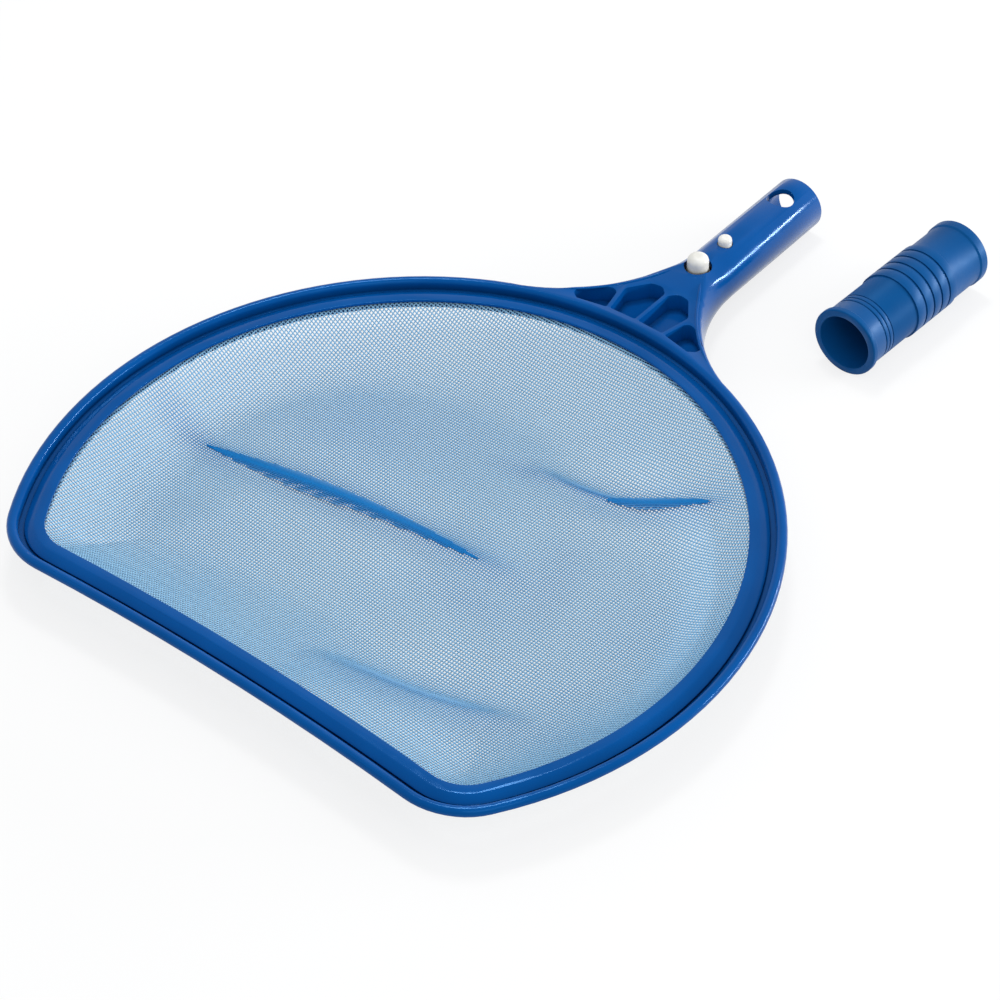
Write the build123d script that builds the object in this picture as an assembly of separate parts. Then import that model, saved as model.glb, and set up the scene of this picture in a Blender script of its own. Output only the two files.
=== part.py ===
from build123d import *
import os
from math import asin, atan2, cos, degrees, hypot, radians, sin, sqrt, tan

# Leaf skimmer net: a D-shaped hoop, ribbed neck and handle tube in one moulding, a slack net
# held in the hoop by a ring, a two-button snap lock inside the tube, and a loose pole adaptor.
#
# Frame: the origin is the centre of the handle tube's open end, +Y points out of the tube to
# the pole, +Z is up, and the object lies on the plane z = -tube_od / 2. Millimetres.

os.makedirs("parts", exist_ok=True)

# Handle tube
tube_od = 26.0
tube_wall = 2.6
tube_end_round = 0.8        # bevel on the mouth of the bore
hang_hole_dia = 13.0
hang_hole_from_end = 16.0

# Hoop outline: a crown arc, two side arcs, two corners and a slightly bowed front edge
neck_reach = 126.3          # tube end to the crown of the hoop
hoop_length = 268.9         # crown to the middle of the front edge
crown_radius = 151.9
crown_half_angle = 29.1     # where the crown arc hands over to the side arcs, degrees
side_radius = 164.8
corner_radius = 35.0
bow_radius = 1390.0
hoop_rise = 11.0            # tube axis to the top of the hoop
hoop_depth = 10.0

# Hoop section, from the outer edge inwards
rim_width = 4.6
rim_height = 2.9
rim_round = 2.2
rim_inner_round = 2.2
rim_under_round = 0.5
channel_depth = 5.1
shelf_width = 15.2
shoulder_inset = 3.2
shelf_thickness = 1.4
wall_inset = 6.3
wall_width = 4.8
core_inset = 7.7
core_width = 2.0
core_depth = 2.4

# Net ring, which lies on the net in the hoop's channel
groove_width = 2.4
ring_width = 8.5
ring_top_drop = 2.4
ring_bevel_width = 4.2
ring_bevel_height = 1.7
ring_crest_round = 2.4
ring_lip_thickness = 1.2
ring_lip_width = 0.9

# Net
net_thickness = 0.6
net_skirt_run = 16.3        # sloping part, measured flat
net_floor_clearance = 0.3
gap_pitch = 12.6
gap_size = 10.4
gap_corner = 1.5            # corner of the area that takes the gaps
slope_gap_size = 11.0
slope_gap_apart = 2.2
panel_joint = 0.3

# Neck
neck_radius = 76.0
neck_top_fall_before = 42.3  # before the crown: the top starts to fall to the hoop's height
neck_top_fall_run = 16.0
neck_top_blend = 30.0
neck_edge_round = 2.0
neck_inset = 2.3            # how far the neck's top reaches over the rim
neck_under_before = 26.8    # before the crown: the underside starts to rise
neck_under_run = 26.5
neck_under_blend = 12.0
bore_end_before = 29.3      # before the crown: the blind end of the tube's bore
pocket_depth = 8.4
rib_width = 1.9
pocket_round = 3.4
inner_pocket_side_x = 17.4  # pocket corners: across from the middle, and along from the crown
inner_pocket_side = 14.8
inner_pocket_heel_x = 14.2
inner_pocket_heel = -0.5
inner_pocket_start = 22.3
inner_pocket_top_x = 4.6
inner_pocket_top = 25.7
inner_pocket_turn_x = 10.0
inner_pocket_turn = 25.0
outer_pocket_side = 13.2
outer_pocket_heel = -0.9
outer_pocket_toe_x = 30.4
outer_pocket_toe = -3.9
outer_pocket_tip_x = 34.6
outer_pocket_tip = -1.3
outer_pocket_back_x = 33.6
outer_pocket_back = 3.6
outer_pocket_bend_x = 26.6
outer_pocket_bend = 9.3
pocket_toe_round = 0.9

# Snap lock
release_before = 45.7       # before the crown
release_dia = 9.9
release_hole_dia = 12.8
release_height = 5.7        # above the tube
release_flange_dia = 14.2
buttons_apart = 20.8
lock_dia = 6.4
lock_hole_dia = 7.2
lock_height = 3.6
lock_flange_dia = 9.6
flange_thickness = 1.2
flange_gap = 0.3
button_travel = 4.0
strip_width = 9.0
strip_thickness = 0.8
strip_past_release = 7.7
strip_past_lock = 9.8
strip_slope = 0.216
strip_height_at_lock = 6.0
strip_end_gap = 0.3
stem_dia = 3.0
stem_clearance = 0.1
rivet_dia = 5.0
rivet_thickness = 1.2
seat_clearance = 0.05

# Pole adaptor
adaptor_length = 86.4
adaptor_rim_dia = 32.9
adaptor_rim_width = 3.0
adaptor_far_rim_width = 4.6
adaptor_body_dia = 30.8
adaptor_grip_dia = 32.4
adaptor_grip_start = 33.2
adaptor_grip_end = 62.5
adaptor_grip_grooves = 4
adaptor_groove_pitch = 5.9
adaptor_groove_width = 1.2
adaptor_groove_depth = 0.55
fine_groove_start = 10.5
fine_groove_pitch = 2.5
fine_grooves = 3
fine_groove_width = 0.7
fine_groove_depth = 0.3
adaptor_clearance = 0.1     # radial, over the handle tube
adaptor_near_x = 76.0
adaptor_near_y = -75.2
adaptor_turn = -3.26        # degrees about +Z from the tube's direction

# Worked out from the sizes above
tube_r = tube_od / 2
bore_r = tube_r - tube_wall
floor_z = -tube_r
hoop_top = hoop_rise
crown_y = -neck_reach
front_y = crown_y - hoop_length
bore_depth = neck_reach - bore_end_before
neck_top_fall_start = neck_reach - neck_top_fall_before
neck_top_fall_end = neck_top_fall_start + neck_top_fall_run
neck_under_start = neck_reach - neck_under_before
neck_under_end = neck_under_start + neck_under_run
release_from_end = neck_reach - release_before
lock_from_end = release_from_end - buttons_apart
strip_inner_end = release_from_end + strip_past_release
strip_outer_end = lock_from_end - strip_past_lock
net_foot = rim_width + groove_width + ring_width + net_skirt_run
net_depth = hoop_top - floor_z - net_floor_clearance
far = 1000.0                # longer than any piece


def point_on(centre, radius, angle):
    """Point at an angle, in radians from +Y towards +X, on a circle in plan."""
    return (centre[0] + radius * sin(angle), centre[1] + radius * cos(angle))


def outline(inset, corner=None):
    """Closed plan outline of the hoop, moved inwards by inset, with its start on the crown."""
    corner = corner_radius - inset if corner is None else corner
    crown, side, bow = crown_radius - inset, side_radius - inset, bow_radius + inset
    hand_over = radians(crown_half_angle)
    crown_centre = (0, crown_y - crown_radius)
    side_centre = point_on(crown_centre, crown_radius - side_radius, hand_over)
    bow_centre = (0, front_y - bow_radius)
    # The corner's centre lies side - corner from one centre and bow + corner from the other.
    dx, dy = side_centre[0] - bow_centre[0], side_centre[1] - bow_centre[1]
    apart = hypot(dx, dy)
    to_bow, to_side = bow + corner, side - corner
    along = (to_bow**2 - to_side**2 + apart**2) / (2 * apart)
    across = sqrt(to_bow**2 - along**2)
    corner_centre = (
        bow_centre[0] + (dx * along + dy * across) / apart,
        bow_centre[1] + (dy * along - dx * across) / apart,
    )
    side_end = atan2(corner_centre[0] - side_centre[0], corner_centre[1] - side_centre[1])
    front_end = atan2(corner_centre[0] - bow_centre[0], corner_centre[1] - bow_centre[1])
    turn_end = front_end + radians(180)
    arcs = [
        (crown_centre, crown, 0, hand_over),
        (side_centre, side, hand_over, side_end),
        (corner_centre, corner, side_end, turn_end),
    ]
    right = [
        ThreePointArc(point_on(c, r, a), point_on(c, r, (a + b) / 2), point_on(c, r, b))
        for c, r, a, b in arcs
    ]
    front = ThreePointArc(
        point_on(bow_centre, bow, front_end),
        point_on(bow_centre, bow, 0),
        point_on(bow_centre, bow, -front_end),
    )
    left = [edge.mirror(Plane.YZ) for edge in reversed(right)]
    return Wire([*right, front, *left])


def plate(inset, bottom, top, corner=None):
    """Flat plate with the hoop's outline, between two heights."""
    return extrude(Pos(0, 0, bottom) * make_face(outline(inset, corner)), top - bottom, dir=(0, 0, 1))


def band(outer_inset, inner_inset, bottom, top):
    """Ring with the hoop's outline, given how deep below the hoop's top it starts and ends."""
    low, high = hoop_top - bottom, hoop_top - top
    return plate(outer_inset, low, high) - plate(inner_inset, low - 1, high + 1)


def loop_edges(piece, depth, inset):
    """Edges of the closed line at a depth below the hoop's top and an inset from its outline."""
    level = hoop_top - depth
    crown = (0, crown_y - inset, level)
    edges = [e for e in piece.edges() if abs(e.bounding_box().min.Z - level) < 1e-4]
    flat = [e for e in edges if e.bounding_box().size.Z < 1e-4]
    start = min(flat, key=lambda edge: edge.distance_to(Vertex(*crown)))
    loop, ends = [start], list(start.vertices())
    grown = True
    while grown:
        grown = False
        for edge in flat:
            if edge not in loop and any(edge.distance_to(end) < 1e-4 for end in ends):
                loop.append(edge)
                ends += list(edge.vertices())
                grown = True
    return loop


def upright(y, radius, bottom, top):
    """Upright round bar on the tube's centre plane."""
    return Pos(0, y, (bottom + top) / 2) * Cylinder(radius, top - bottom)


def make_hoop():
    rim = band(0, rim_width, rim_height, 0)
    rim = fillet(loop_edges(rim, 0, 0), rim_round)
    rim = fillet(loop_edges(rim, 0, rim_width), rim_inner_round)
    rim = fillet(loop_edges(rim, rim_height, 0), rim_under_round)
    shoulder = band(shoulder_inset, rim_width, channel_depth, rim_height)
    shelf = band(shoulder_inset, shelf_width, channel_depth + shelf_thickness, channel_depth)
    wall = band(wall_inset, wall_inset + wall_width, hoop_depth, channel_depth + shelf_thickness)
    core = band(core_inset, core_inset + core_width, hoop_depth + 1, hoop_depth - core_depth)
    return rim + shoulder + shelf + (wall - core)


def make_neck():
    """Flare turned about the tube's axis, cut flat on top and sloped underneath."""
    hub_x = tube_r + neck_radius
    crown_centre_y = crown_y - crown_radius
    reach = crown_radius + neck_radius
    start_y = crown_centre_y + sqrt(reach**2 - hub_x**2)
    share = crown_radius / reach
    end = (hub_x * share, crown_centre_y + (start_y - crown_centre_y) * share)
    middle_angle = atan2(start_y - end[1], hub_x - end[0]) / 2
    middle = (hub_x - neck_radius * cos(middle_angle), start_y - neck_radius * sin(middle_angle))
    profile = make_face(
        [
            ThreePointArc((tube_r, start_y), middle, end),
            Line(end, (0, end[1])),
            Line((0, end[1]), (0, start_y)),
            Line((0, start_y), (tube_r, start_y)),
        ]
    )
    flare = revolve(profile, Axis.Y)
    corners = [
        (start_y + 1, floor_z),
        (start_y + 1, tube_r),
        (-neck_top_fall_start, tube_r),
        (-neck_top_fall_end, hoop_top),
        (end[1] - 1, hoop_top),
        (end[1] - 1, hoop_top - hoop_depth),
        (-neck_under_end, hoop_top - hoop_depth),
        (-neck_under_start, floor_z),
    ]
    side = make_face(Polyline(*[(0, y, z) for y, z in corners], close=True))
    for index, radius in ((3, neck_top_blend), (6, neck_under_blend)):
        corner = side.vertices().sort_by_distance((0, *corners[index]))[0]
        side = fillet(corner, radius)
    slab = extrude(side, hub_x, dir=(1, 0, 0), both=True)
    neck = flare & slab
    neck = fillet(neck_top_edges(neck), neck_edge_round)
    neck -= plate(rim_width, floor_z - 1, hoop_top - rim_height)
    return neck - plate(neck_inset, hoop_top - rim_height, hoop_top + 1)


def neck_top_edges(neck):
    """Side edges of the neck's top, from where it starts to fall down to the hoop."""
    edges = []
    for edge in neck.edges():
        box = edge.bounding_box()
        at_top = box.min.Z > hoop_top - 0.01 and box.max.Y < -neck_top_fall_start + 0.01
        if at_top and box.size.X > 0.5 and box.size.Y > 0.5:
            edges.append(edge)
    return edges


def pocket_outlines():
    """Plan corners, measured from the crown, of the two pockets right of the middle rib."""
    half_rib = rib_width / 2
    inner = [
        (half_rib, 0),
        (half_rib, inner_pocket_start),
        (inner_pocket_top_x, inner_pocket_top),
        (inner_pocket_turn_x, inner_pocket_turn),
        (inner_pocket_side_x, inner_pocket_side),
        (inner_pocket_heel_x, inner_pocket_heel),
    ]
    outer = [
        (inner_pocket_side_x + rib_width, outer_pocket_side),
        (inner_pocket_heel_x + rib_width, outer_pocket_heel),
        (outer_pocket_toe_x, outer_pocket_toe),
        (outer_pocket_tip_x, outer_pocket_tip),
        (outer_pocket_back_x, outer_pocket_back),
        (outer_pocket_bend_x, outer_pocket_bend),
    ]
    return [(inner, (1, 2, 3, 4)), (outer, (0, 3, 4))]


def make_pockets():
    pockets = []
    for corners, soft in pocket_outlines():
        corners = [(x, crown_y + along) for x, along in corners]
        face = make_face(Polyline(*corners, close=True))
        for index in range(len(corners)):
            corner = face.vertices().sort_by_distance((*corners[index], 0))[0]
            face = fillet(corner, pocket_round if index in soft else pocket_toe_round)
        block = extrude(Pos(0, 0, hoop_top - pocket_depth) * face, pocket_depth + 5, dir=(0, 0, 1))
        pockets += [block, block.mirror(Plane.YZ)]
    return pockets


def make_frame():
    body_length = neck_top_fall_start
    tube = Pos(0, -body_length / 2, 0) * Rot(X=90) * Cylinder(tube_r, body_length)
    frame = make_hoop() + make_neck() + tube
    bore = Pos(0, -bore_depth / 2, 0) * Rot(X=90) * Cylinder(bore_r, bore_depth)
    bore += Pos(0, -tube_end_round / 2, 0) * Rot(X=-90) * Cone(bore_r, bore_r + tube_end_round, tube_end_round)
    frame -= bore
    for pocket in make_pockets():
        frame -= pocket
    frame -= upright(-hang_hole_from_end, hang_hole_dia / 2, -far / 2, far / 2)
    frame -= upright(-release_from_end, release_hole_dia / 2, 0, far)
    frame -= upright(-lock_from_end, lock_hole_dia / 2, 0, far)
    return frame


def make_ring():
    outside = rim_width + groove_width
    inside = outside + ring_width
    ring = band(outside, inside, channel_depth - net_thickness, ring_top_drop)
    ring = chamfer(loop_edges(ring, ring_top_drop, outside), ring_bevel_height, ring_bevel_width)
    ring = fillet(loop_edges(ring, ring_top_drop, outside + ring_bevel_width), ring_crest_round)
    under = ring_top_drop + ring_lip_thickness
    return ring - band(inside - ring_lip_width, inside + 1, channel_depth, under)


def make_net_skirt():
    """Edge clamped under the ring, and the part that slopes down from it, in one section."""
    held = rim_width + groove_width
    mouth = held + ring_width
    shelf = channel_depth - net_thickness
    section = [
        (held, shelf),
        (mouth + net_thickness / 3, shelf),
        (net_foot, net_depth - net_thickness),
        (net_foot, net_depth),
        (net_foot - net_thickness, net_depth),
        (mouth - net_thickness / 3, channel_depth),
        (held, channel_depth),
    ]
    placed = [(0, crown_y - inwards, hoop_top - below) for inwards, below in section]
    skirt = sweep(make_face(Polyline(*placed, close=True)), path=Pos(0, 0, hoop_top) * outline(0))
    line = outline((mouth + net_foot) / 2)
    count = int(line.length / (slope_gap_size + slope_gap_apart))
    gaps = []
    for index in range(count):
        place, heading = line.position_at(index / count), line.tangent_at(index / count)
        turn = degrees(atan2(heading.Y, heading.X))
        gaps.append(Pos(place.X, place.Y, 0) * Rot(Z=turn) * Box(slope_gap_size, slope_gap_size, far))
    return skirt.cut(*gaps)


def make_net_panel():
    """Flat bottom of the net, as one face with square gaps."""
    joint = net_foot + panel_joint
    rim = outline(joint)
    inside = make_face(outline(joint + gap_pitch - gap_size, gap_corner))
    half = gap_size / 2
    count = int(side_radius / gap_pitch) + 1
    middle_y = (crown_y + front_y) / 2
    gaps = []
    for column in range(-count, count + 1):
        for row in range(-count, count + 1):
            x, y = column * gap_pitch, middle_y + row * gap_pitch
            corners = [(x + i * half, y + j * half) for i, j in ((-1, -1), (1, -1), (1, 1), (-1, 1))]
            if all(inside.is_inside((*corner, 0)) for corner in corners):
                gaps.append(Wire.make_polygon([(*corner, 0) for corner in corners], close=True))
    print("net gaps", len(gaps))
    face = Face(rim, gaps)
    return extrude(Pos(0, 0, hoop_top - net_depth) * face, net_thickness, dir=(0, 0, 1))


def strip_height(y):
    """Middle of the sprung leg's thickness, which rises towards the tube's end."""
    return strip_height_at_lock - strip_thickness / 2 + strip_slope * (y + lock_from_end)


def make_button(from_end, diameter, height, flange_diameter):
    """Domed button with a flange under the tube wall and a stem riveted through the leg."""
    y = -from_end
    radius, flange_r = diameter / 2, flange_diameter / 2
    top = tube_r + height
    flange_top = sqrt(bore_r**2 - flange_r**2) - flange_gap
    lean = strip_slope * radius
    leg = strip_height(y)
    foot = leg + strip_thickness / 2 + lean + 2 * seat_clearance
    head_top = leg - strip_thickness / 2 - strip_slope * rivet_dia / 2 - 2 * seat_clearance
    body = upright(y, radius, flange_top - flange_thickness, top)
    dome_edge = body.edges().filter_by(GeomType.CIRCLE).sort_by(Axis.Z)[-1]
    body = fillet(dome_edge, 0.62 * radius)
    body += upright(y, flange_r, flange_top - flange_thickness, flange_top)
    body += upright(y, radius * 0.6, foot, flange_top)
    body += upright(y, stem_dia / 2, head_top - rivet_thickness, flange_top)
    body += upright(y, rivet_dia / 2, head_top - rivet_thickness, head_top)
    return body


def make_upper_leg():
    start, end = -strip_inner_end + strip_end_gap, -strip_outer_end
    half = strip_thickness / 2
    corners = [
        (0, start, strip_height(start) - half),
        (0, end, strip_height(end) - half),
        (0, end, strip_height(end) + half),
        (0, start, strip_height(start) + half),
    ]
    leg = extrude(make_face(Polyline(*corners, close=True)), strip_width / 2, dir=(1, 0, 0), both=True)
    for from_end in (release_from_end, lock_from_end):
        leg -= upright(-from_end, stem_dia / 2 + stem_clearance, -far / 2, far / 2)
    return leg


def make_lower_leg():
    """Leg that lies on the bottom of the bore, with the bend that joins it to the upper leg."""
    start, end = -strip_inner_end, -strip_outer_end
    low = -sqrt(bore_r**2 - (strip_width / 2) ** 2) + seat_clearance
    high = strip_height(start) + strip_thickness / 2
    outer = (high - low) / 2
    middle = (high + low) / 2
    back = start - outer
    profile = [
        Line((0, end, low), (0, start, low)),
        ThreePointArc((0, start, low), (0, back, middle), (0, start, high)),
        Line((0, start, high), (0, start, high - strip_thickness)),
        ThreePointArc(
            (0, start, high - strip_thickness),
            (0, back + strip_thickness, middle),
            (0, start, low + strip_thickness),
        ),
        Line((0, start, low + strip_thickness), (0, end, low + strip_thickness)),
        Line((0, end, low + strip_thickness), (0, end, low)),
    ]
    return extrude(make_face(profile), strip_width / 2, dir=(1, 0, 0), both=True)


def groove_cuts(starts, width, depth, radius):
    """Half-hidden rings that cut grooves round the adaptor, each at its distance along it."""
    cuts = []
    for start in starts:
        ring = Cylinder(radius + 1, width) - Cylinder(radius - depth, width)
        cuts.append(Pos(0, 0, start) * ring)
    return cuts


def make_adaptor():
    body_r, grip_r, rim_r = adaptor_body_dia / 2, adaptor_grip_dia / 2, adaptor_rim_dia / 2
    bore = tube_r + adaptor_clearance
    bevel = grip_r - body_r
    far_rim = adaptor_length - adaptor_far_rim_width
    profile = [
        (bore, 0),
        (rim_r, 0),
        (rim_r, adaptor_rim_width),
        (body_r, adaptor_rim_width),
        (body_r, adaptor_grip_start),
        (grip_r, adaptor_grip_start),
        (grip_r, adaptor_grip_end - bevel),
        (body_r, adaptor_grip_end),
        (body_r, far_rim - bevel),
        (rim_r - bevel / 2, far_rim),
        (rim_r - bevel / 2, adaptor_length),
        (bore, adaptor_length),
    ]
    face = make_face(Polyline(*[(x, 0, z) for x, z in profile], close=True))
    for index, radius in ((1, 0.8), (2, 0.5), (10, 0.8)):
        place = (profile[index][0], 0, profile[index][1])
        face = fillet(face.vertices().sort_by_distance(place)[0], radius)
    sleeve = revolve(face, Axis.Z)
    grip = [adaptor_grip_start + adaptor_groove_pitch * (i + 1) for i in range(adaptor_grip_grooves)]
    for cut in groove_cuts(grip, adaptor_groove_width, adaptor_groove_depth, grip_r):
        sleeve -= cut
    fine = [fine_groove_start + fine_groove_pitch * i for i in range(fine_grooves)]
    for cut in groove_cuts(fine, fine_groove_width, fine_groove_depth, body_r):
        sleeve -= cut
    lying = Pos(adaptor_near_x, adaptor_near_y, floor_z + rim_r) * Rot(Z=adaptor_turn) * Rot(X=-90)
    return lying * sleeve


def main():
    pieces = {
        "skimmer_frame": make_frame(),
        "net_retaining_ring": make_ring(),
        "net_skirt": make_net_skirt(),
        "net_panel": make_net_panel(),
        "release_button": make_button(release_from_end, release_dia, release_height, release_flange_dia),
        "lock_button": make_button(lock_from_end, lock_dia, lock_height, lock_flange_dia),
        "lock_spring_upper_leg": make_upper_leg(),
        "lock_spring_lower_leg": make_lower_leg(),
        "adaptor_sleeve": make_adaptor(),
    }
    for name, piece in pieces.items():
        export_step(piece, f"parts/{name}.step")
        print(name, len(piece.solids()), "solid", round(piece.volume), "mm3")


main()
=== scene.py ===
# %% [markdown]
# A leaf skimmer net for a family pool: a flat D-shaped hoop of blue plastic, a ribbed neck, a
# handle tube with two sprung buttons, a fine slack net and a loose adaptor sleeve for a wider
# pole. The hard pieces come in as CAD nodes. This lesson dresses them, softens their moulded
# edges and makes the net thread by thread.

# %% Load the frame
from math import atan2, cos, hypot, pi, radians, sin, sqrt

import bpy
import numpy as np
from mathutils import Matrix, Quaternion, Vector


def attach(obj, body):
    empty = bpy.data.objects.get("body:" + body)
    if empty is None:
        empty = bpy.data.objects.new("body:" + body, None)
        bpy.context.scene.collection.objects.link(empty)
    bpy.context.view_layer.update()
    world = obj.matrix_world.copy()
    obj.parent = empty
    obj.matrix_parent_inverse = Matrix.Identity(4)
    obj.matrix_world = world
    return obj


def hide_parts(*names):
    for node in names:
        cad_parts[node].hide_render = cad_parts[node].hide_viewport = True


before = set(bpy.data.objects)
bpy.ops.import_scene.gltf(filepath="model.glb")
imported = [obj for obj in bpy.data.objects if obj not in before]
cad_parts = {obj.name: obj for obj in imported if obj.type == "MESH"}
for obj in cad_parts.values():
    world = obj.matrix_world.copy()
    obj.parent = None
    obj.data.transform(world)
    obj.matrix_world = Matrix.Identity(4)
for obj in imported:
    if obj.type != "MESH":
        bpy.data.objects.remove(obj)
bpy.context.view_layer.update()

# %% [markdown]
# A few helpers do what later steps repeat. Operators act on whatever is selected, so a piece is
# chosen by itself before each one. Colours are written as on a paint chart and turned to light
# values, and one function adds a node to a material, sets it and links it.

# %% Small helpers
MM = 0.001  # a millimetre, in metres
FIRST, SECOND, MIXED = 6, 7, 2  # a Mix node's two colour inputs and its colour output


def deselect():
    """Clear the selection, so that an operator acts only on what is chosen next."""
    bpy.ops.object.select_all(action="DESELECT")


def choose(piece):
    deselect()
    piece.select_set(True)
    bpy.context.view_layer.objects.active = piece


def colour(code):
    """An sRGB hex colour as Blender's linear RGBA."""
    channels = [int(code[i : i + 2], 16) / 255 for i in (1, 3, 5)]
    return [c / 12.92 if c <= 0.04045 else ((c + 0.055) / 1.055) ** 2.4 for c in channels] + [1]


def add(tree, kind, settings=None):
    """Add a node. A setting is one of its properties, an input's value or the socket to link."""
    node = tree.nodes.new("ShaderNode" + kind)
    for key, value in (settings or {}).items():
        if isinstance(value, bpy.types.NodeSocket):
            tree.links.new(value, node.inputs[key])
        elif isinstance(key, str) and key not in node.inputs:
            setattr(node, key, value)
        else:
            node.inputs[key].default_value = value
    return node


def new_material(name):
    material = bpy.data.materials.new(name)
    material.use_nodes = True
    material.node_tree.nodes.clear()
    return material, material.node_tree


print("helpers ready")

# %% [markdown]
# The camera looks down on the skimmer from beyond its front corner, through a long lens, so
# that the hoop lies slanting across the view and the handle points away to the upper right.

# %% Camera
eye = Vector((0.55488, -0.88399, 0.78193))
aim = Vector((0.00954, -0.23398, -0.013))
roll = Quaternion((0, 0, 1), radians(-1.256))
lens_data = bpy.data.cameras.new("camera")
camera = bpy.data.objects.new("camera", lens_data)
bpy.context.scene.collection.objects.link(camera)
camera.location = eye
camera.rotation_mode = "QUATERNION"
camera.rotation_quaternion = (aim - eye).to_track_quat("-Z", "Y") @ roll
lens_data.lens = 98.88
lens_data.sensor_width = 36
bpy.context.scene.camera = camera
print("camera", round((aim - eye).length, 3), "m from its aim")

# %% [markdown]
# The light is that of a small product studio: a soft box high above, a little behind the
# object, that draws a line along the rounded rim; a low strip box beyond the handle that draws
# the white line along the tube; a weak one at the front; and an even pale sky.

# %% Lights and sky
def soft_box(name, place, at, size, power):
    data = bpy.data.lights.new(name, "AREA")
    data.shape = "RECTANGLE"
    data.size, data.size_y = size
    data.energy = power
    lamp = bpy.data.objects.new(name, data)
    bpy.context.scene.collection.objects.link(lamp)
    lamp.location = place
    lamp.rotation_mode = "QUATERNION"
    lamp.rotation_quaternion = (Vector(at) - Vector(place)).to_track_quat("-Z", "Y")


net_middle, tube_middle = (0.0, -0.22, 0.0), (0.0, -0.04, 0.0)
soft_box("top box", (-0.33, 0.18, 1.30), net_middle, (0.30, 0.30), 5.4)
soft_box("strip box", (0.94, 0.80, 0.262), tube_middle, (0.95, 0.07), 13.0)
soft_box("front box", (0.9, -0.9, 1.2), net_middle, (0.8, 0.8), 3.2)

world = bpy.data.worlds.new("studio sky")
bpy.context.scene.world = world
world.use_nodes = True
sky = world.node_tree
sky.nodes.clear()
pale_sky = add(sky, "Background", {"Color": (0.96, 0.98, 1, 1), "Strength": 0.68})
add(sky, "OutputWorld", {"Surface": pale_sky.outputs[0]})
bpy.context.scene.view_settings.view_transform = "Standard"

# %% [markdown]
# The floor is a plain white table. It takes the object's soft shadow. To the eye, and in the
# gloss of the plastic, it is lifted most of the way to white, while it throws back less light
# onto the object than it shows.

# %% Floor
TUBE_R = 13.0  # the skimmer rests on the underside of its handle tube, whose axis is at nought
WHITE_SHARE = 0.78
FLOOR_SIZE = 12
deselect()
bpy.ops.mesh.primitive_plane_add(size=FLOOR_SIZE, location=(0, 0, 0))
floor = bpy.context.active_object
floor.name = "floor"
floor.data.transform(Matrix.Translation((0, 0, -TUBE_R * MM)))

floor_paint, tree = new_material("white table top")
ray = add(tree, "LightPath").outputs
seen = add(tree, "Math", {"operation": "MAXIMUM", 0: ray["Is Camera Ray"], 1: ray["Is Transmission Ray"]})
seen = add(tree, "Math", {"operation": "MAXIMUM", 0: seen.outputs[0], 1: ray["Is Glossy Ray"]})
matt_colour = add(
    tree, "Mix",
    {"data_type": "RGBA", 0: seen.outputs[0], FIRST: colour("#B4B4B4"), SECOND: colour("#FAFAFA")},
)
matt = add(tree, "BsdfDiffuse", {"Color": matt_colour.outputs[MIXED]})
white = add(tree, "Emission", {"Color": (1, 1, 1, 1), "Strength": 1.0})
eye_share = add(tree, "Math", {"operation": "MULTIPLY", 0: seen.outputs[0], 1: WHITE_SHARE})
floor_mix = add(tree, "MixShader", {0: eye_share.outputs[0], 1: matt.outputs[0], 2: white.outputs[0]})
add(tree, "OutputMaterial", {"Surface": floor_mix.outputs[0]})
floor.data.materials.append(floor_paint)
print("floor at", floor.data.vertices[0].co.z)

# %% [markdown]
# Every blue piece is injection-moulded polypropylene. Pigment is stirred through the melt, so
# the colour drifts a little over centimetres. The steel of the mould leaves a faint ripple a
# millimetre or two across, which breaks up the reflections, and handling leaves duller places.
# Narrow grooves and pockets are painted a darker shade, standing in for the shadow where little
# light reaches them, and the gloss itself has a blue cast. The buttons are acetal, a hard
# off-white plastic that is moulded the same way.

# %% Moulded plastics
PAINTED_SHADE_REACH = 5 * MM  # how near a wall has to be before a groove takes the painted shade
HANDLING_SCALE = 9 * MM


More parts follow.
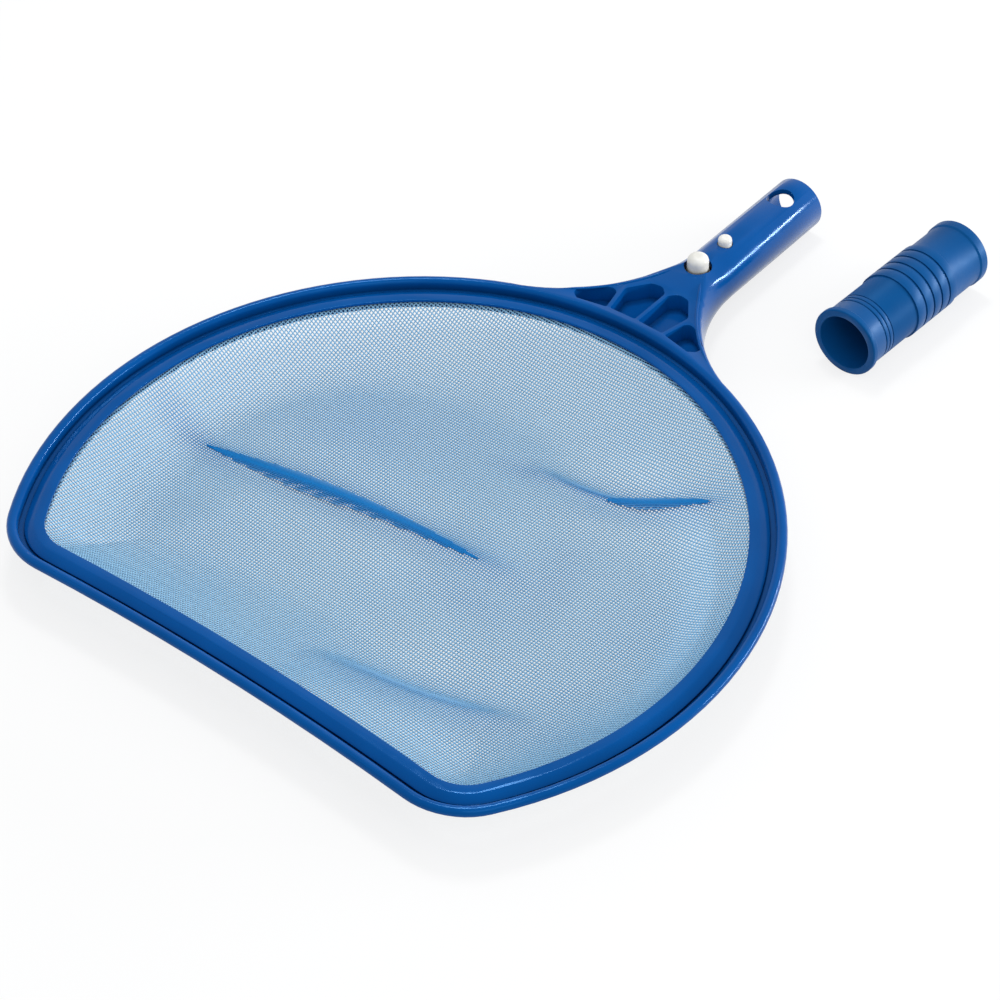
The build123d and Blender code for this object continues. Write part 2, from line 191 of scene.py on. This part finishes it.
def moulded_plastic(
    name, base, deep, roughness, ripple_mm, ripple_height_mm, drift_mm=40, painted_nook_shade="#03204E", sheen="#5AA8E8"
):
    material, tree = new_material(name)
    spot = add(tree, "TexCoord").outputs["Object"]
    drift = add(tree, "TexNoise", {"Scale": 1 / (drift_mm * MM), "Detail": 3.0, "Vector": spot})
    share = add(tree, "MapRange", {"From Min": 0.35, "From Max": 0.65, "Value": drift.outputs["Fac"]})
    tint = add(
        tree, "Mix",
        {"data_type": "RGBA", 0: share.outputs[0], FIRST: colour(base), SECOND: colour(deep)},
    )
    # Painted shade: where walls close in, ambient occlusion mixes the colour towards the darker shade,
    # standing in for the shadow in grooves and pockets.
    open_sky = add(tree, "AmbientOcclusion", {"Distance": PAINTED_SHADE_REACH, "samples": 8})
    lit = add(tree, "MapRange", {"From Min": 0.2, "From Max": 0.72, "Value": open_sky.outputs["AO"]})
    shaded = add(
        tree, "Mix",
        {"data_type": "RGBA", 0: lit.outputs[0], FIRST: colour(painted_nook_shade), SECOND: tint.outputs[MIXED]},
    )
    ripple = add(tree, "TexNoise", {"Scale": 1 / (ripple_mm * MM), "Detail": 2.0, "Vector": spot})
    dull = add(
        tree, "TexNoise", {"Scale": 1 / HANDLING_SCALE, "Detail": 5.0, "Roughness": 0.6, "Vector": spot}
    )
    gloss = add(
        tree, "MapRange",
        {"From Min": 0.3, "From Max": 0.7, "To Min": roughness - 0.05, "To Max": roughness + 0.07,
         "Value": dull.outputs["Fac"]},
    )
    bump = add(
        tree, "Bump",
        {"Strength": 0.5, "Distance": ripple_height_mm * MM, "Height": ripple.outputs["Fac"]},
    )
    skin = add(
        tree, "BsdfPrincipled",
        {"Base Color": shaded.outputs[MIXED], "IOR": 1.49, "Specular IOR Level": 0.42,
         "Specular Tint": colour(sheen), "Roughness": gloss.outputs[0], "Normal": bump.outputs[0]},
    )
    add(tree, "OutputMaterial", {"Surface": skin.outputs[0]})
    return material


# Each finish paints a darker shade into its grooves and recesses: navy for the blue plastics, grey for the
# acetal.
blue_polypropylene = moulded_plastic("glossy blue polypropylene", "#03519B", "#024A90", 0.13, 2.6, 0.02)
sleeve_polypropylene = moulded_plastic("satin blue polypropylene", "#06508F", "#054883", 0.42, 1.6, 0.04)
white_acetal = moulded_plastic(
    "off-white acetal", "#F0EFEA", "#E4E2DA", 0.3, 1.5, 0.03, drift_mm=6, painted_nook_shade="#A9A8A2", sheen="#FFFFFF"
)
print("plastics", blue_polypropylene.name, sleeve_polypropylene.name, white_acetal.name)

# %% [markdown]
# The lock's spring is a strip of cold-rolled steel. Rolling leaves fine lines along the strip,
# so the pattern is stretched along the handle. Real lines are finer than shows, and these are
# drawn 0.3 mm apart so that the gloss still breaks along them.

# %% Spring steel
LINE_APART, LINE_LENGTH = 0.3 * MM, 12 * MM
spring_steel, tree = new_material("cold-rolled spring steel")
where = add(tree, "TexCoord").outputs["Object"]
line_scale = (1 / LINE_APART, 1 / LINE_LENGTH, 1 / LINE_APART)
along = add(tree, "Mapping", {"Scale": line_scale, "Vector": where})
lines = add(tree, "TexNoise", {"Scale": 1.0, "Detail": 3.0, "Vector": along.outputs[0]})
wear = add(tree, "MapRange", {"To Min": 0.24, "To Max": 0.42, "Value": lines.outputs["Fac"]})
rolled = add(tree, "Bump", {"Strength": 0.3, "Distance": 0.01 * MM, "Height": lines.outputs["Fac"]})
metal = add(
    tree, "BsdfPrincipled",
    {"Base Color": colour("#C9CACC"), "Metallic": 1.0, "Roughness": wear.outputs[0],
     "Normal": rolled.outputs[0]},
)
add(tree, "OutputMaterial", {"Surface": metal.outputs[0]})
print("metal", spring_steel.name)

# %% [markdown]
# A moulded edge is never knife sharp. Each hard piece is copied from its CAD node, its loose
# triangles are merged, flat areas are joined up again, and a bevel a fraction of a millimetre
# wide runs along every sharp edge. That thin round is what catches the light.

# %% Softened copies of the moulded pieces
MERGE_DISTANCE = 0.004 * MM
FLAT_ANGLE, SHARP_ANGLE, SMOOTH_ANGLE = radians(0.6), radians(32), radians(34)


def softened(node, body, paint, edge_mm):
    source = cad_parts[node]
    piece = source.copy()
    piece.data = source.data.copy()
    for key in list(piece.keys()):
        if key.startswith("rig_"):
            del piece[key]
    piece.parent = None
    piece.name = node + "_skin"
    bpy.context.scene.collection.objects.link(piece)
    choose(piece)
    bpy.ops.object.mode_set(mode="EDIT")
    bpy.ops.mesh.select_all(action="SELECT")
    bpy.ops.mesh.remove_doubles(threshold=MERGE_DISTANCE)
    bpy.ops.mesh.dissolve_limited(angle_limit=FLAT_ANGLE)
    bpy.ops.object.mode_set(mode="OBJECT")
    round_off = piece.modifiers.new("edge", "BEVEL")
    round_off.width = edge_mm * MM
    round_off.segments = 2
    round_off.limit_method = "ANGLE"
    round_off.angle_limit = SHARP_ANGLE
    bpy.ops.object.modifier_apply(modifier=round_off.name)
    bpy.ops.object.shade_smooth_by_angle(angle=SMOOTH_ANGLE)
    piece.data.materials.clear()
    piece.data.materials.append(paint)
    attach(piece, body)
    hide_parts(node)
    print(piece.name, len(piece.data.polygons), "faces")


softened("skimmer_frame", "skimmer", blue_polypropylene, 0.35)
softened("net_retaining_ring", "skimmer", blue_polypropylene, 0.2)
softened("adaptor_sleeve", "adaptor", sleeve_polypropylene, 0.25)

# %% [markdown]
# A low raised bead runs along each side of the neck's top, from the tube to the hoop. It stiffens
# the moulding and catches the light. The bead is a bevelled curve that follows the flare, which
# is an arc turned about the tube's axis, a little inside its rounded edge. It starts where the
# neck's top is still falling from the tube to the hoop, and it tapers out at both ends.

# %% Raised beads along the neck
CROWN, CROWN_Y = 151.9, -126.3  # the hoop's arc at the neck, and how far along the handle it is
NECK_RADIUS, HOOP_TOP = 76.0, 11.0
FALL_END_Y, FALL_RUN = -100.0, 16.0
BEAD_START_Y, BEAD_END_Y, BEAD_POINTS = -88.0, -131.0, 44
BEAD_RADIUS, BEAD_INSET, BEAD_SUNK, BEAD_TAPER = 0.75, 2.2, 0.2, 6.0
hub = TUBE_R + NECK_RADIUS
flare_start = CROWN_Y - CROWN + sqrt((CROWN + NECK_RADIUS) ** 2 - hub**2)


def neck_bead(name, side):
    curve = bpy.data.curves.new(name, "CURVE")
    curve.dimensions = "3D"
    curve.bevel_depth = BEAD_RADIUS * MM
    curve.bevel_resolution = 2
    curve.use_fill_caps = True
    spline = curve.splines.new("POLY")
    spline.points.add(BEAD_POINTS - 1)
    for point, y in zip(spline.points, np.linspace(BEAD_START_Y, BEAD_END_Y, BEAD_POINTS)):
        top = HOOP_TOP + (TUBE_R - HOOP_TOP) * min(1, max(0, (y - FALL_END_Y) / FALL_RUN))
        flare = hub - sqrt(NECK_RADIUS**2 - (flare_start - y) ** 2)
        x = sqrt(flare**2 - top**2) - BEAD_INSET
        point.co = (side * x * MM, y * MM, (top - BEAD_SUNK) * MM, 1)
        point.radius = min(1, 0.1 + min(BEAD_START_Y - y, y - BEAD_END_Y) / BEAD_TAPER)
    bead = bpy.data.objects.new(name, curve)
    bpy.context.scene.collection.objects.link(bead)
    choose(bead)
    bpy.ops.object.convert(target="MESH")
    bpy.ops.object.shade_smooth_by_angle(angle=radians(50))
    bead.data.materials.append(blue_polypropylene)
    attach(bead, "skimmer")
    print(name, len(bead.data.polygons), "faces")


neck_bead("neck_bead_right", 1)
neck_bead("neck_bead_left", -1)

# %% [markdown]
# The two buttons and the two legs of the spring are small, with their domes and bends already in
# the CAD solids, so they keep that shape and only take a finish.

# %% The small pieces keep their CAD shape
for node, paint in (
    ("release_button", white_acetal),
    ("lock_button", white_acetal),
    ("lock_spring_upper_leg", spring_steel),
    ("lock_spring_lower_leg", spring_steel),
):
    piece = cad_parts[node]
    piece.data.materials.clear()
    piece.data.materials.append(paint)
    print(node, "in", paint.name)

# %% [markdown]
# The net follows the hoop, so its threads need to know how far inside the hoop's edge they
# are. The hoop's outline is a crown arc, two side arcs, two corners and a slightly bowed
# front, with the same sizes as the solids. A corner's arc touches the side and the front, so its
# centre is where two circles about their centres cross.

# %% How far inside the hoop a point is
SIDE, CORNER, BOW, FRONT_Y = 164.8, 35.0, 1390.0, -395.2
hand_over = radians(29.1)
crown_centre = np.array((0, CROWN_Y - CROWN))
side_centre = crown_centre + (CROWN - SIDE) * np.array((sin(hand_over), cos(hand_over)))
bow_centre = np.array((0, FRONT_Y - BOW))
gap = side_centre - bow_centre
apart = hypot(*gap)
to_bow, to_side = BOW + CORNER, SIDE - CORNER
reach = (to_bow**2 - to_side**2 + apart**2) / (2 * apart)
sideways = sqrt(to_bow**2 - reach**2)
corner_centre = bow_centre + (reach * gap + sideways * np.array((gap[1], -gap[0]))) / apart
corner_from = atan2(*(corner_centre - side_centre))
corner_to = atan2(*(corner_centre - bow_centre)) + pi


def inset(x, y):
    """Distance inwards from the hoop's outer edge, in millimetres."""
    x = np.abs(x)
    turn = np.arctan2(x - crown_centre[0], y - crown_centre[1])
    from_crown = CROWN - np.hypot(x - crown_centre[0], y - crown_centre[1])
    from_side = SIDE - np.hypot(x - side_centre[0], y - side_centre[1])
    from_bow = np.hypot(x - bow_centre[0], y - bow_centre[1]) - BOW
    inside = np.minimum(np.where(turn < hand_over, from_crown, from_side), from_bow)
    bearing = np.arctan2(x - corner_centre[0], y - corner_centre[1]) % (2 * pi)
    at_corner = (bearing > corner_from) & (bearing < corner_to)
    from_corner = CORNER - np.hypot(x - corner_centre[0], y - corner_centre[1])
    return np.where(at_corner, np.minimum(inside, from_corner), inside)


print("half width", round(float(side_centre[0] + SIDE), 1), "corner centre", corner_centre.round(1))

# %% [markdown]
# Slack cloth gathers into a few sharp folds and many soft swells. A fold is a ridge along a line:
# steep on its far side, gentler on its near side. Two of the folds close on themselves, and
# there the threads lie bunched. Round the folds, and where cloth lies double, are soft bluer
# patches. All are given in millimetres, because they are where this net fell.

# %% Folds, bunches and bluer patches
FOLDS = [  # points along the ridge, height, near width, far width, depth of colour
    (
        [(-124, -290), (-98, -286.5), (-60, -280.8), (-17, -274.2), (14, -271.2), (48, -269.5)],
        3.2, 6.0, 5.0, 0.95,
    ),
    (
        [(8, -212.5), (32, -212), (54, -207.3), (72, -198), (88, -191), (102, -190)],
        2.8, 5.2, 4.4, 0.8,
    ),
    (
        [(10, -357), (33, -350.3), (55, -346), (78, -337), (104, -326.5)],
        2.6, 8.0, 5.0, 0.36,
    ),
]
BUNCHES = [  # points along a closed fold, and how many threads lie on each side of its middle
    (
        [(-110, -287.6), (-96, -286.1), (-80, -284.4), (-58, -280.6),
         (-36, -277.1), (-15.9, -274.1), (4, -271.9), (28, -271)],
        7,
    ),
    (
        [(48, -210.4), (56, -206.2), (63, -202.4), (72.5, -197.1), (82, -192.9), (88, -191.4)],
        5,
    ),
]
HAZES = [  # middle of a bluer patch, its half length and half width, its direction, its depth
    ((-112, -288), 30, 8, -6, 0.42),
    ((-40, -270), 60, 8, 8, 0.26),
    ((22, -272), 34, 9, 4, 0.32),
    ((36, -290), 30, 9, 2, 0.14),
    ((60, -262), 12, 30, 20, 0.16),
    ((20, -214), 26, 6, 8, 0.34),
    ((64, -206), 40, 8, 36, 0.2),
    ((56, -346), 46, 12, 18, 0.22),
    ((-62, -230), 60, 34, 30, 0.14),
]
print(len(FOLDS), "folds,", len(BUNCHES), "of them closed, and", len(HAZES), "bluer patches")

# %% [markdown]
# To raise the cloth along a ridge, each point has to know the nearest place on it: how far along,
# how far across, and which way across is. The ridge's few points are first made a smooth line.

# %% Nearest place on a ridge
ROUNDS = 3  # of cutting corners


def smooth_line(points):
    """The ridge's points with their corners cut until the line is a smooth curve."""
    points = np.array(points, float)
    for _ in range(ROUNDS):
        middle = [p for a, b in zip(points, points[1:]) for p in (0.75 * a + 0.25 * b, 0.25 * a + 0.75 * b)]
        points = np.array([points[0], *middle, points[-1]])
    return points


def along_ridge(points, x, y):
    """Nearest place on a ridge: share along it, signed distance and direction across it."""
    points = smooth_line(points)
    steps = np.diff(points, axis=0)
    lengths = np.hypot(steps[:, 0], steps[:, 1])
    total, before = lengths.sum(), np.concatenate(([0], np.cumsum(lengths)))[:-1]
    best = np.full(x.shape, np.inf)
    share, signed = np.zeros(x.shape), np.zeros(x.shape)
    across_x, across_y = np.zeros(x.shape), np.zeros(x.shape)
    for p, d, length, start in zip(points, steps, lengths, before):
        t = np.clip(((x - p[0]) * d[0] + (y - p[1]) * d[1]) / length**2, 0, 1)
        dx, dy = x - p[0] - t * d[0], y - p[1] - t * d[1]
        away = np.hypot(dx, dy)
        near = away < best
        side = np.sign(d[0] * dy - d[1] * dx)
        best = np.where(near, away, best)
        share = np.where(near, (start + t * length) / total, share)
        signed = np.where(near, away * side, signed)
        across_x = np.where(near, -d[1] / length, across_x)
        across_y = np.where(near, d[0] / length, across_y)
    return share, signed, across_x, across_y


print("a ridge of", len(FOLDS[0][0]), "points is smoothed to", len(smooth_line(FOLDS[0][0])))

# %% [markdown]
# Between the folds the cloth only swells and hollows by a few millimetres. Three waves that
# bend one another give that without any repeat that shows, and the same each time.

# %% Swells and patches
def swell(x, y):
    """Soft hollows and swells of slack cloth, from nought to one."""
    # What divides x or y is a wave's length in millimetres over two pi.
    wave = (
        np.sin(x / 26 + 1.3 * np.sin(y / 37))
        + np.sin(y / 23 - x / 34 + 0.8)
        + 0.5 * np.sin((x + y) / 19 + 1.1 * np.sin(x / 31))
    )
    return np.clip(0.5 + wave / 4.4, 0, 1)


def haze(x, y):
    """How much bluer the cloth is where it lies double or bunched, away from the sharp folds."""
    depth = np.zeros(x.shape)
    for (cx, cy), length, width, direction, tone in HAZES:
        c, s = cos(radians(direction)), sin(radians(direction))
        along, over = (x - cx) * c + (y - cy) * s, (y - cy) * c - (x - cx) * s
        depth = np.maximum(depth, tone * np.exp(-((along / length) ** 2) - (over / width) ** 2))
    return depth


spots = np.array([0.0, 60.0]), np.array([-270.0, -210.0])
print("swell", swell(*spots).round(2), "patch", haze(*spots).round(2))

# %% [markdown]
# The cloth is clamped under the ring, sinks from it in a short curve and lies slack on the
# table. A fold lifts it and pulls the threads beside it together, so the weave closes up there
# and looks deeper.

# %% The slack cloth's height
HELD_Z, LOW_Z = 6.2, -12.2
CLAMP, MOUTH = 8.2, 15.4  # from the hoop's edge to the cloth's, and to where it leaves the ring
SINK_RUN, SINK_CURVE = 48, 1.9
SWELL_FROM, SWELL_RUN, SWELL_HEIGHT = 30, 50, 3.2
PULL = 0.42  # share of its distance that a thread beside a fold is drawn in
PULL_WIDTH, CORE_WIDTH, HALO_WIDTH = 1.6, 0.46, 1.1  # as shares of the fold's own width
HALO_DEPTH = 0.4


def cloth(x, y):
    """Where a point of the flat cloth comes to lie: x, y, z in millimetres, and its fold depth."""
    inwards = inset(x, y)
    run = SINK_RUN + 9 * np.sin(x / 38 + 1) + 7 * np.sin(y / 33)  # wavers round the hoop
    t = np.clip((inwards - MOUTH) / run, 0, 1)
    sink = 1 - (1 - t) ** SINK_CURVE
    lying = np.clip((inwards - SWELL_FROM) / SWELL_RUN, 0, 1) ** 1.5
    z = HELD_Z + (LOW_Z - HELD_Z) * sink + SWELL_HEIGHT * lying * swell(x, y) ** 1.4
    deep = haze(x, y)
    out_x, out_y = x.copy(), y.copy()
    for points, height, near, far, tone in FOLDS:
        share, signed, across_x, across_y = along_ridge(points, x, y)
        fade = np.sin(pi * np.clip(share, 0, 1)) ** 0.9
        width = np.where(signed > 0, far, near)
        z = z + height * fade * np.exp(-((signed / width) ** 2))
        wide = near + far
        pull = -PULL * signed * np.exp(-((signed / (PULL_WIDTH * wide)) ** 2)) * fade
        out_x, out_y = out_x + across_x * pull, out_y + across_y * pull
        core = np.exp(-((signed / (CORE_WIDTH * wide)) ** 2))
        halo = HALO_DEPTH * np.exp(-((signed / (HALO_WIDTH * wide)) ** 2))
        deep = np.maximum(deep, tone * fade * np.maximum(core, halo))
    held = inwards < MOUTH
    out_x, out_y = np.where(held, x, out_x), np.where(held, y, out_y)
    z = np.maximum(np.where(held, HELD_Z, z), LOW_Z)
    return out_x, out_y, z, np.where(held, 0, deep)


print("height in the middle", cloth(np.array([0.0]), np.array([-270.0]))[2].round(2))

# %% [markdown]
# The net is woven of nylon monofilament, one set of threads along and one set across. A real
# weave can be finer than shows from a step away, so this one is drawn as coarse as it needs to
# be to show, with its threads 1.36 mm apart. A thread is sampled closely where the cloth bends
# and sparsely where it is flat.

# %% Where a thread lies
PITCH = 1.36
SAMPLE, SHORTEST = 0.25, 12  # step along a thread in millimetres, and the fewest steps to keep
STEP = 1.5
OVER_UNDER = 0.14  # threads along x lie this much over the middle, the others under it
BEND_KEPT, LONGEST_SKIP = 0.2, 5


def straight(fixed, t, along_x):
    """Flat points of a thread that runs along x or along y."""
    level = np.full_like(t, fixed)
    return (t, level) if along_x else (level, t)


def thread_runs(fixed, along_x):
    """Stretches of one straight thread that lie inside the clamped edge."""
    t = np.arange(-400.0, 200.0, SAMPLE)
    keep = inset(*straight(fixed, t, along_x)) > CLAMP
    edges = np.flatnonzero(np.diff(np.concatenate(([0], keep.astype(int), [0]))))
    return [t[a:b] for a, b in zip(edges[::2], edges[1::2]) if b - a > SHORTEST]


def placed_thread(fixed, t, along_x):
    """Points of a thread on the cloth, thinned where it runs straight."""
    t = np.linspace(t[0], t[-1], max(4, int((t[-1] - t[0]) / STEP)))
    px, py, pz, deep = cloth(*straight(fixed, t, along_x))
    points = np.stack((px, py, pz + (OVER_UNDER if along_x else -OVER_UNDER)), 1)
    bend = np.zeros(len(t))
    bend[1:-1] = np.linalg.norm(points[2:] - 2 * points[1:-1] + points[:-2], axis=1)
    keep, since = [0], 0
    for i in range(1, len(t) - 1):
        since += bend[i]
        if since > BEND_KEPT or i - keep[-1] >= LONGEST_SKIP:
            keep.append(i)
            since = 0
    keep.append(len(t) - 1)
    return points[keep], deep[keep]


middle_run = thread_runs(0.0, False)[0]
kept_points = len(placed_thread(0.0, middle_run, False)[0])
print("middle thread from", middle_run[0], "to", middle_run[-1], "mm, with", kept_points, "points")

# %% [markdown]
# A thread is round, but so thin that three sides are enough to shade it and keep the whole net
# light. It could be a bevelled curve, but its faces are made directly, because that way all the
# threads are one closed mesh that carries the fold's depth for the finish.

# %% A thread as a slim tube
THREAD = 0.38  # from a thread's middle to its corners
SIDES = 3


def across_line(line):
    """Level direction across each point of a line, one long."""
    ahead = np.gradient(line, axis=0)
    across = np.stack((-ahead[:, 1], ahead[:, 0]), 1)
    return across / np.linalg.norm(across, axis=1)[:, None]


def tube_of(points, depth, vertices, faces, depths):
    """Add one closed three-sided thread along a line of points."""
    base, count = len(vertices), len(points)
    for p, (side_x, side_y), d in zip(points, across_line(points), depth):
        for corner in range(SIDES):
            turn = 2 * pi * corner / SIDES + pi / 2
            place = p + THREAD * np.array((cos(turn) * side_x, cos(turn) * side_y, sin(turn)))
            vertices.append(tuple(place * MM))
            depths.append(d)
    for i in range(count - 1):
        for corner in range(SIDES):
            a, b = base + SIDES * i + corner, base + SIDES * i + (corner + 1) % SIDES
            faces.append((a, b, b + SIDES, a + SIDES))
    last = base + SIDES * (count - 1)
    faces.append((base, base + 2, base + 1))
    faces.append((last, last + 1, last + 2))


print("a thread has", SIDES, "sides, each", round(2 * THREAD * sin(pi / SIDES), 2), "mm wide")

# %% [markdown]
# Where a fold closes on itself its threads are drawn together. They lie side by side along the
# ridge, densest in its middle, and the outer ones are shorter, so the bunch ends in points.

# %% Threads gathered in a closed fold
BUNCH_PITCH, BUNCH_MIDDLE, BUNCH_LIFT = 0.42, 0.4, 0.85
BUNCH_POINTS, LOOSENING, TIP, EDGE_PALER = 40, 0.09, 1.8, 0.35


def gathered_threads(points, half):
    """Threads drawn together along a closed fold, dense in its middle and loose at its sides."""
    line = smooth_line(points)
    across = across_line(line)
    lengths = np.concatenate(([0], np.cumsum(np.hypot(*np.diff(line, axis=0).T))))
    for k in range(-half, half + 1):
        span = 1 - (abs(k) / (half + 1)) ** TIP
        first, last = BUNCH_MIDDLE * (1 - span), BUNCH_MIDDLE + (1 - BUNCH_MIDDLE) * span
        share = np.linspace(first, last, BUNCH_POINTS) * lengths[-1]
        offset = BUNCH_PITCH * k * (1 + LOOSENING * abs(k))
        x = np.interp(share, lengths, line[:, 0] + offset * across[:, 0])
        y = np.interp(share, lengths, line[:, 1] + offset * across[:, 1])
        z = cloth(x, y)[2]
        yield np.stack((x, y, z + BUNCH_LIFT), 1), np.full(BUNCH_POINTS, 1 - EDGE_PALER * (k / half) ** 2)


print("threads in the bunches", [2 * half + 1 for _, half in BUNCHES])

# %% [markdown]
# The whole net is now one mesh: every thread along, every thread across and the bunches. The
# operator at the end turns all faces outwards.

# %% The net
WIDTH_SPAN, LENGTH_SPAN = (-144, 144), (-388, -132)  # beyond them a thread is hidden by the ring


def make_net():
    vertices, faces, depths = [], [], []
    for along_x, span in ((False, WIDTH_SPAN), (True, LENGTH_SPAN)):
        for fixed in np.arange(*span, PITCH):
            for t in thread_runs(fixed, along_x):
                points, deep = placed_thread(fixed, t, along_x)
                tube_of(points, deep, vertices, faces, depths)
    for ridge, half in BUNCHES:
        for points, deep in gathered_threads(ridge, half):
            tube_of(points, deep, vertices, faces, depths)
    mesh = bpy.data.meshes.new("net")
    mesh.from_pydata(vertices, [], faces)
    depth = mesh.attributes.new("fold_depth", "FLOAT", "POINT")
    depth.data.foreach_set("value", np.array(depths, np.float32))
    net = bpy.data.objects.new("net_cloth", mesh)
    bpy.context.scene.collection.objects.link(net)
    choose(net)
    bpy.ops.object.mode_set(mode="EDIT")
    bpy.ops.mesh.select_all(action="SELECT")
    bpy.ops.mesh.normals_make_consistent(inside=False)
    bpy.ops.object.mode_set(mode="OBJECT")
    bpy.ops.object.shade_smooth()
    return net


net = make_net()
net.data.calc_loop_triangles()
print("net faces", len(net.data.polygons), "triangles", len(net.data.loop_triangles))

# %% [markdown]
# Clear blue nylon passes and scatters light, so a single thread looks pale and a fold, where
# the light goes through several, looks a strong blue. The fold's depth was kept on the net.

# %% Nylon monofilament
nylon, tree = new_material("blue nylon monofilament")
depth = add(tree, "Attribute", {"attribute_name": "fold_depth"})
where = add(tree, "TexCoord").outputs["Object"]
batch = add(tree, "TexNoise", {"Scale": 1 / (55 * MM), "Detail": 2.0, "Vector": where})
pale = add(
    tree, "Mix",
    {"data_type": "RGBA", 0: batch.outputs["Fac"], FIRST: colour("#92C6EA"), SECOND: colour("#A6D2EE")},
)
tone = add(
    tree, "Mix",
    {"data_type": "RGBA", 0: depth.outputs["Fac"], FIRST: pale.outputs[MIXED], SECOND: colour("#0082CC")},
)
thread_skin = add(
    tree, "BsdfPrincipled",
    {"Base Color": tone.outputs[MIXED], "IOR": 1.53, "Roughness": 0.5, "Specular IOR Level": 0.22},
)
add(tree, "OutputMaterial", {"Surface": thread_skin.outputs[0]})
net.data.materials.append(nylon)
print("net in", nylon.name)

# %% [markdown]
# The net rides with the skimmer and stands in for its two solids. Before it was clamped it was a
# flat D of cloth. Its size is the hoop's opening out to the clamped edge, with the little more
# that lets it hang slack.

# %% The net as a sheet of cloth
SLACK = 1.03  # a thread's length over its length in plan
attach(net, "skimmer")
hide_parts("net_skirt", "net_panel")
grid = np.meshgrid(np.arange(-160, 160, 1.0), np.arange(-400, -120, 1.0))
cut_area = float((inset(grid[0], grid[1]) > CLAMP).sum()) * MM * MM * SLACK**2
print("cut area", round(cut_area, 4), "m2")
